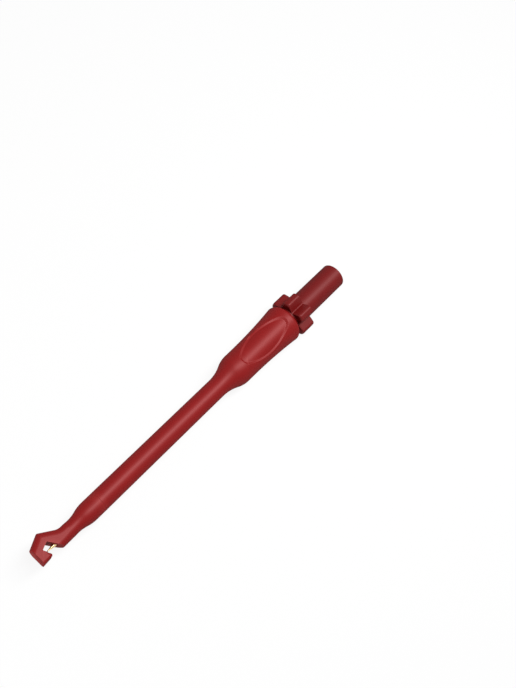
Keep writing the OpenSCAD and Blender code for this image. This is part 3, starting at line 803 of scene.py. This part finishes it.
def make_star_knob():
    """Skirt, star and barrel in one turned piece, whose rings take the star's outline on the collar."""
    sides = 360
    skirt_x, base_x = start_of("star_knob"), start_of("socket_sleeve")
    knurl_x = start_of("contact_socket") - KNURL_LEN
    seal_x = skirt_x + SEAL_BACK
    profile = rounded_profile([
        (skirt_x, SHANK_R + SEAT, INNER_ROUND), (knurl_x, SHANK_R + SEAT, KNURL_SEAT_ROUND),
        (knurl_x, KNURL_R + SEAT, KNURL_SEAT_ROUND), (base_x, KNURL_R + SEAT, INNER_ROUND),
        (base_x, SHROUD_R, INNER_ROUND), (mouth_x, SHROUD_R, MOUTH_ROUND), (mouth_x, BARREL_R, RIM_ROUND),
        (barrel_x, BARREL_R, COLLAR_FILLET), (barrel_x, STAR_R, STAR_REAR_ROUND),
        (collar_x, STAR_R, STAR_FRONT_ROUND), (collar_x, SKIRT_R, COLLAR_FILLET),
        (seal_x + SEAL_W, SKIRT_R, SEAL_ROUND), (seal_x + SEAL_W, SEAL_BOTTOM_R, SEAL_ROUND),
        (seal_x, SEAL_BOTTOM_R, SEAL_ROUND), (seal_x, SKIRT_R, SEAL_ROUND), (skirt_x, SKIRT_R, RIM_ROUND),
    ], steps=5)
    star = star_radii(sides)
    rings = []
    # Profile points on the collar, or a hair beyond it, follow the star's outline
    for x, r in profile:
        if r > SKIRT_R and collar_x - STAR_SLACK <= x <= barrel_x + STAR_SLACK:
            lift = (r - SKIRT_R) / (STAR_R - SKIRT_R)
            rings.append(ring_at(x, [SKIRT_R + lift * (star_r - SKIRT_R) for star_r in star]))
        else:
            rings.append(ring_at(x, [r] * sides))
    piece = draw_out("fine_star_knob", rings + rings[:1])
    finish_piece(piece, "knob_plastic", "knob")


# Socket and needle

def make_contact():
    """The foot and the tube of the 4 mm contact, with the seat for the end of the spindle."""
    start_x, rim_x, base_x = start_of("contact_socket"), end_of("contact_socket"), start_of("socket_sleeve")
    core_x = start_x + CORE_LEN + SEAT
    floor_x = station(contact_mount["pos_m"][0]) - contact_mount["dims"]["length_mm"] / 2
    profile = [
        (core_x, 0), (core_x, CORE_R + SEAT), (start_x, CORE_R + SEAT),
        (start_x, KNURL_R - KNURL_EDGE), (start_x + KNURL_EDGE, KNURL_R),
        (base_x - KNURL_EDGE, KNURL_R), (base_x, KNURL_R - KNURL_EDGE), (base_x, CONTACT_R),
        (rim_x - CONTACT_EDGE, CONTACT_R), (rim_x, CONTACT_R - CONTACT_EDGE),
        (rim_x, CONTACT_BORE_R + LEAD_IN), (rim_x - LEAD_IN, CONTACT_BORE_R),
        (floor_x, CONTACT_BORE_R), (floor_x, 0),
    ]
    piece = turned("fine_contact_socket", profile, sides=96, closed=False)
    finish_piece(piece, "gold_plate", "knob")


def make_sleeve():
    """The insulating sleeve round the contact, on a base that fills the shroud's bore."""
    base_x, rim_x = start_of("socket_sleeve"), end_of("socket_sleeve")
    step_x = end_of("contact_socket") + SEAT
    shoulder_x = base_x + SLEEVE_BASE_T
    profile = rounded_profile([
        (base_x, CONTACT_R + SEAT, SLEEVE_SEAT_ROUND), (step_x, CONTACT_R + SEAT, SLEEVE_SEAT_ROUND),
        (step_x, SLEEVE_MOUTH_R, INNER_ROUND), (rim_x, SLEEVE_MOUTH_R, MOUTH_ROUND),
        (rim_x, SLEEVE_R, MOUTH_ROUND), (shoulder_x, SLEEVE_R, SLEEVE_FILLET),
        (shoulder_x, SHROUD_R - SEAT, SLEEVE_BASE_ROUND), (base_x, SHROUD_R - SEAT, SLEEVE_BASE_ROUND),
    ])
    piece = turned("fine_socket_sleeve", profile, sides=96)
    finish_piece(piece, "sleeve_plastic", "knob")


def make_needle():
    """The needle with its blunt tip, cone and soft shoulder."""
    point_x, end_x, needle_r = start_of("needle"), end_of("needle"), radius_of("needle")
    tip_r = needle_r * POINT_SHARE
    flat_r = tip_r * 0.7
    # The cone stops just short of the full radius and reaches it a little later, for a soft shoulder
    cone = [(point_x + POINT_LEN * way, tip_r + (needle_r - tip_r) * way) for way in (0.33, 0.66, 0.96)]
    shoulder_x = point_x + POINT_LEN * 1.02
    profile = [
        (point_x, 0), (point_x, flat_r), (point_x + POINT_ROUND, tip_r), *cone, (shoulder_x, needle_r),
        (end_x - NEEDLE_EDGE, needle_r), (end_x, needle_r - NEEDLE_EDGE), (end_x, 0),
    ]
    piece = turned("fine_needle", profile, sides=64, closed=False)
    finish_piece(piece, "gold_plate", "needle_drive")


# Floor, light and camera

def sees_white(tree):
    """1 for the rays of the camera, a reflection or a refraction, and 0 for those that carry the light."""
    rays = add(tree, "LightPath").outputs
    glossy = add(tree, "Math", {0: rays["Is Camera Ray"], 1: rays["Is Glossy Ray"]}, operation="ADD")
    either = add(tree, "Math", {0: glossy.outputs[0], 1: rays["Is Transmission Ray"]}, operation="ADD",
                 use_clamp=True)
    return either.outputs[0]


def make_floor():
    """White paper: the camera and the glossy pieces see it white, and it keeps the probe's soft shadow."""
    size_m, white_share = 4, 0.9
    bpy.ops.object.select_all(action="DESELECT")
    bpy.ops.mesh.primitive_plane_add(size=size_m, location=(0, 0, 0))
    floor = bpy.context.object
    floor.name = "floor"
    material, tree, shader = new_finish("white_paper")
    shader.inputs["Base Color"].default_value = (0.8, 0.8, 0.8, 1)
    shader.inputs["Roughness"].default_value = 0.9
    shader.inputs["Specular IOR Level"].default_value = 0.0
    white = add(tree, "Emission", {"Color": (1, 1, 1, 1), "Strength": 1.0})
    share = add(tree, "Math", {0: sees_white(tree), 1: white_share}, operation="MULTIPLY")
    paper = add(tree, "MixShader", {0: share.outputs[0], 1: shader.outputs[0], 2: white.outputs[0]})
    tree.links.new(paper.outputs[0], tree.nodes["Material Output"].inputs["Surface"])
    floor.data.materials.append(material)


def make_world():
    """A dim room for the light, and plain white where the camera, a reflection or a refraction sees it."""
    world = bpy.data.worlds.new("studio")
    bpy.context.scene.world = world
    world.use_nodes = True
    tree = world.node_tree
    room = tree.nodes["Background"]
    room.inputs["Color"].default_value = (1, 1, 1, 1)
    room.inputs["Strength"].default_value = 0.1
    white = add(tree, "Background", {"Color": (1, 1, 1, 1), "Strength": 1.0})
    mixed = add(tree, "MixShader", {0: sees_white(tree), 1: room.outputs[0], 2: white.outputs[0]})
    tree.links.new(mixed.outputs[0], tree.nodes["World Output"].inputs["Surface"])


def add_lamp(name, place_mm, aim_mm, size_mm, watts):
    """A softbox at a place in the frame, turned towards its aim."""
    lamp = bpy.data.objects.new(name, bpy.data.lights.new(name, "AREA"))
    bpy.context.collection.objects.link(lamp)
    lamp.data.shape = "RECTANGLE"
    lamp.data.size, lamp.data.size_y = size_mm[0] * MM, size_mm[1] * MM
    lamp.data.energy = watts
    lamp.location = Vector(place_mm) * MM
    lamp.rotation_euler = (Vector(aim_mm) * MM - lamp.location).to_track_quat("-Z", "Y").to_euler()


def make_camera():
    """The photographer's camera, worked out from the probe's straight lines and circles in the photo."""
    swing, lean, roll = radians(30), radians(4.7), radians(43.9)
    distance_mm, aim_station, aside_mm = 355.5, 108.28, 1.03
    focal_px, photo_height_px, sensor_mm = 990, 688, 36
    along = Vector((1, 0, 0))
    up = Vector((0, -sin(lean), cos(lean)))
    across = Vector((0, -cos(lean), -sin(lean)))
    level = along * cos(swing) + up * sin(swing)
    forward = along * sin(swing) - up * cos(swing)
    right = level * cos(roll) + across * sin(roll)
    down = across * cos(roll) - level * sin(roll)
    data = bpy.data.cameras.new("camera")
    data.sensor_fit = "VERTICAL"
    data.sensor_height = sensor_mm
    data.lens = focal_px / photo_height_px * sensor_mm
    camera = bpy.data.objects.new("camera", data)
    bpy.context.collection.objects.link(camera)
    place = spot(aim_station, 0, 0) - (forward * distance_mm + across * aside_mm) * MM
    turn = Matrix((right, -down, -forward)).transposed().to_4x4()
    camera.matrix_world = Matrix.Translation(place) @ turn
    bpy.context.scene.camera = camera


# The pieces, and the finish of each node that keeps its own shape
make_hook_tip()
make_housing()
make_star_knob()
make_contact()
make_sleeve()
make_needle()
for part in record["subparts"]:
    for slot in frame["nodes"][part["node"]].material_slots:
        slot.material = finishes[part["material_slot"]]

# The studio. The long lamp draws the highlight along the probe, and the other lights the hook's front
make_floor()
make_world()
add_lamp("strip_softbox", place_mm=(112, -30, 401), aim_mm=(0, 0, 0), size_mm=(110, 455), watts=2.35)
add_lamp("front_softbox", place_mm=(-340, 30, 120), aim_mm=(-60, 0, 5), size_mm=(200, 120), watts=0.4)
make_camera()
bpy.context.scene.view_settings.view_transform = "Standard"
